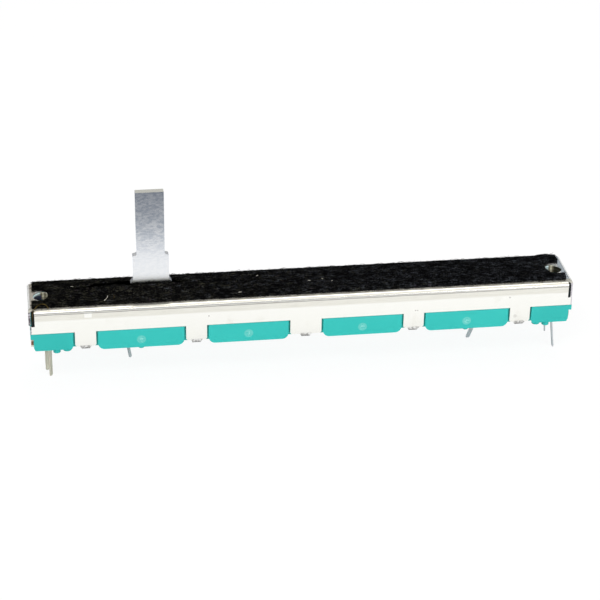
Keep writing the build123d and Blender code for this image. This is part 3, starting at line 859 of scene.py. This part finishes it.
def thread_tree(finish):
    """One ridge that winds down the inside of a round hole."""
    inputs = (
        ("Radius", "NodeSocketFloat"),
        ("Pitch", "NodeSocketFloat"),
        ("Turns", "NodeSocketFloat"),
        ("Ridge", "NodeSocketFloat"),
    )
    tree, g, given = new_tree("tapped_thread", inputs)
    winding = g.node(
        "GeometryNodeCurveSpiral",
        values={
            "Resolution": 40,
            "Rotations": given["Turns"],
            "Start Radius": given["Radius"],
            "End Radius": given["Radius"],
            "Height": given["Pitch"] * given["Turns"],
        },
    )
    end_tree(g, sweep(g, winding, 5, given["Ridge"]), finish)
    return tree


# Lint on the felt and over the front left corner


def add_lint(name, points, thickness, finish):
    """One loose fibre: a thin smooth thread through points in millimetres."""
    curve = bpy.data.curves.new(name, "CURVE")
    curve.dimensions = "3D"
    curve.bevel_depth = thickness / 2 * MM
    curve.bevel_resolution = 1
    curve.resolution_u = 5
    curve.use_fill_caps = True
    spline = curve.splines.new("NURBS")
    spline.points.add(len(points) - 1)
    for point, place in zip(spline.points, points):
        point.co = (*[value * MM for value in place], 1.0)
    spline.use_endpoint_u = True
    spline.order_u = 3
    carrier = bpy.data.objects.new(name + "_carrier", curve)
    bpy.context.collection.objects.link(carrier)
    mesh = finished_mesh(carrier)
    bpy.data.objects.remove(carrier)
    mesh.materials.clear()
    mesh.materials.append(finish)
    add_object(name, mesh, HOUSING)


ON_FELT = felt_high[2] + 0.06
ABOVE_FELT = ON_FELT + 0.1
add_lint(
    "tan_lint_loop",
    (
        (-36.98, -4.3, -1.4),
        (-36.96, -4.35, -0.6),
        (-36.8, -4.2, 0.05),
        (-36.5, -3.9, 0.35),
        (-36.2, -3.5, 0.5),
        (-35.8, -3.25, ON_FELT),
        (-35.35, -3.25, ON_FELT),
        (-35.0, -3.5, 0.5),
        (-34.75, -3.9, 0.12),
    ),
    0.15,
    tan_lint,
)
add_lint(
    "pale_lint_curl",
    (
        (-26.75, -1.9, ON_FELT),
        (-26.8, -2.4, ABOVE_FELT),
        (-26.95, -2.8, ON_FELT + 0.05),
        (-27.3, -3.2, ON_FELT),
    ),
    0.08,
    pale_lint,
)
add_lint(
    "tan_lint_curl",
    (
        (-25.9, -1.5, ON_FELT),
        (-26.1, -1.9, ABOVE_FELT),
        (-25.8, -2.4, ABOVE_FELT),
        (-26.0, -2.7, ON_FELT),
    ),
    0.07,
    tan_lint,
)
LINT_SPECKS = (             # places on the felt
    (-31.4, 1.2),
    (-12.9, 0.58),
    (-6.0, 1.56),
    (-8.9, -2.9),
    (0.9, -0.68),
    (2.76, -0.31),
    (4.04, -1.04),
)
for number, (x, y) in enumerate(LINT_SPECKS, 1):
    turn = 2.4 * number
    reach = 0.2 + 0.06 * math.sin(turn)
    along, across = reach * math.cos(turn), 0.5 * reach * math.sin(turn)
    bent = (
        (x - along, y - across, ON_FELT),
        (x + across, y + along / 3, ABOVE_FELT),
        (x + along, y + across, ON_FELT),
    )
    add_lint(f"lint_speck_{number}", bent, 0.06, pale_lint)


# Nap and threads

NAP = {
    "Top density": 9.0 / MM ** 2,
    "Edge density": 26.0 / MM ** 2,
    "Length": 0.6 * MM,
    "Thickness": 0.03 * MM,
    "Seed": 7,
}
LIP_NAP = {**NAP, "Top density": 30.0 / MM ** 2, "Edge density": 60.0 / MM ** 2}
felt_fibres = nap_tree(nap_finish)
grow("felt_nap", felt_fibres, felt.data, NAP, HOUSING)
for name in ("parted_lip_front", "parted_lip_rear"):
    grow(name + "_nap", felt_fibres, bpy.data.objects[name].data, LIP_NAP, SLIDER)

THREAD_PITCH = 0.5
THREAD_TURNS = 2.0
THREAD_RIDGE = 0.14
THREAD_SUNK = 0.15          # share of the ridge that stands inside the hole's radius
THREAD_TOP = 0.6            # share of the ridge that the thread starts below the cover's top
thread = thread_tree(tinplate)
thread_sizes = {
    "Radius": (tapping_radius - THREAD_RIDGE * THREAD_SUNK) * MM,
    "Pitch": THREAD_PITCH * MM,
    "Turns": THREAD_TURNS,
    "Ridge": THREAD_RIDGE * MM,
}
for name, side in (("screw_thread_left", -1), ("screw_thread_right", 1)):
    empty = bpy.data.meshes.new(name + "_start")
    turns = grow(name, thread, empty, thread_sizes, HOUSING)
    drop = -(THREAD_PITCH * THREAD_TURNS + THREAD_RIDGE * THREAD_TOP)
    turns.data.transform(Matrix.Translation((side * screw_x * MM, 0, drop * MM)))


# Stage, light and camera

FLOOR_HALF = 1500.0
FLOOR_FAR = 100.0           # millimetres from the part that the last stop stands for
# The darkest stops, next to the part, are a painted shadow under it that metal sees in reflections
FLOOR_SEEN = (              # what metal sees of the floor, going away from the part
    (0.0, (0.234, 0.234, 0.241, 1)),
    (0.07, (0.296, 0.296, 0.3, 1)),
    (0.125, (0.65, 0.65, 0.642, 1)),
    (0.16, (0.764, 0.766, 0.754, 1)),
    (0.22, (0.748, 0.75, 0.743, 1)),
    (0.27, (0.84, 0.845, 0.85, 1)),
    (0.345, (0.85, 0.855, 0.87, 1)),
    (0.395, (0.64, 0.655, 0.67, 1)),
    (0.435, (0.36, 0.375, 0.4, 1)),
    (0.55, (0.21, 0.225, 0.255, 1)),
    (1.0, (0.234, 0.234, 0.249, 1)),
)
WHITE = (1, 1, 1, 1)
FLOOR_WHITE = 0.84          # the rest is the lit floor, which keeps the shadow


def make_floor_finish():
    """Pale floor that the camera sees white, with the shadow kept, and metal sees in shades of grey."""
    f = Finish("floor_pale")
    past_end = f.maths("MAXIMUM", abs(f.x) - cover_high[0], 0.0)
    away = f.length(past_end, f.y)
    seen = f.node("ShaderNodeValToRGB", {"stops": FLOOR_SEEN}, {"Fac": away * (1 / FLOOR_FAR)})
    plain = f.node("ShaderNodeBsdfDiffuse", values={"Color": paint(236, 236, 236)})
    white = f.node("ShaderNodeEmission", values={"Color": WHITE, "Strength": 1.06})
    mirrored = f.node("ShaderNodeEmission", values={"Color": seen, "Strength": 1.4})
    camera = f.node("ShaderNodeLightPath", output="Is Camera Ray")
    glossy = f.node("ShaderNodeLightPath", output="Is Glossy Ray")
    shown = f.node("ShaderNodeMixShader", values={0: camera * FLOOR_WHITE, 1: plain, 2: white})
    shown = f.node("ShaderNodeMixShader", values={0: glossy, 1: shown, 2: mirrored})
    f.node("ShaderNodeOutputMaterial", values={"Surface": shown})
    return f.material


def make_world():
    """Soft even room light, white to the camera and brighter overhead and at both ends to metal."""
    world = bpy.data.worlds.new("studio")
    bpy.context.scene.world = world
    world.use_nodes = True
    world.node_tree.nodes.clear()
    g = Graph(world.node_tree)
    way = g.node("ShaderNodeTexCoord", output="Generated")
    along = g.node("ShaderNodeSeparateXYZ", values={0: way}, output="X")
    up = g.node("ShaderNodeSeparateXYZ", values={0: way}, output="Z")
    bright = g.maths("MAXIMUM", g.step(up, 0.15, 0.85), g.step(abs(along), 0.36, 0.5))
    camera = g.node("ShaderNodeLightPath", output="Is Camera Ray")
    glossy = g.node("ShaderNodeLightPath", output="Is Glossy Ray")
    strength = 0.4 + camera * 0.6 + glossy * (0.8 * bright - 0.1)
    sky = g.node("ShaderNodeBackground", values={"Color": WHITE, "Strength": strength})
    g.node("ShaderNodeOutputWorld", values={"Surface": sky})


def add_softbox(name, place, size, power):
    """A square lamp that faces the object."""
    lamp = bpy.data.lights.new(name, "AREA")
    lamp.size = size * MM
    lamp.energy = power
    softbox = bpy.data.objects.new(name, lamp)
    softbox.location = Vector(place) * MM
    softbox.rotation_euler = (-softbox.location).to_track_quat("-Z", "Y").to_euler()
    bpy.context.collection.objects.link(softbox)


def add_floor():
    """The surface that the pins stand on."""
    mesh = bpy.data.meshes.new("floor")
    signs = ((-1, -1), (1, -1), (1, 1), (-1, 1))
    corners = [(x * FLOOR_HALF * MM, y * FLOOR_HALF * MM, pin_low[2] * MM) for x, y in signs]
    mesh.from_pydata(corners, [], [(0, 1, 2, 3)])
    mesh.materials.append(make_floor_finish())
    floor = bpy.data.objects.new("floor", mesh)
    bpy.context.collection.objects.link(floor)


CAMERA_PLACE = Vector((-37.31, -237.56, 128.81))
CAMERA_AIM = Vector((-0.976, -4.995, 0.0))
CAMERA_ROLL = 1.156         # degrees, anticlockwise seen from behind
CAMERA_LENS = 118.93
CAMERA_SENSOR = 36.0


def add_camera():
    """The photograph's viewing angle."""
    lens = bpy.data.cameras.new("camera")
    lens.lens = CAMERA_LENS
    lens.sensor_width = CAMERA_SENSOR
    lens.clip_start = 0.01
    camera = bpy.data.objects.new("camera", lens)
    turn = (CAMERA_AIM - CAMERA_PLACE).to_track_quat("-Z", "Y").to_matrix().to_4x4()
    roll = Matrix.Rotation(math.radians(CAMERA_ROLL), 4, "Z")
    camera.matrix_world = Matrix.Translation(CAMERA_PLACE * MM) @ turn @ roll
    bpy.context.collection.objects.link(camera)
    bpy.context.scene.camera = camera


add_floor()
make_world()
add_softbox("key", (-160, -260, 330), 220, 0.9)
add_softbox("fill", (220, -300, 140), 200, 0.5)
add_softbox("back", (60, 240, 340), 180, 0.35)
add_camera()
bpy.context.scene.view_settings.view_transform = "Standard"
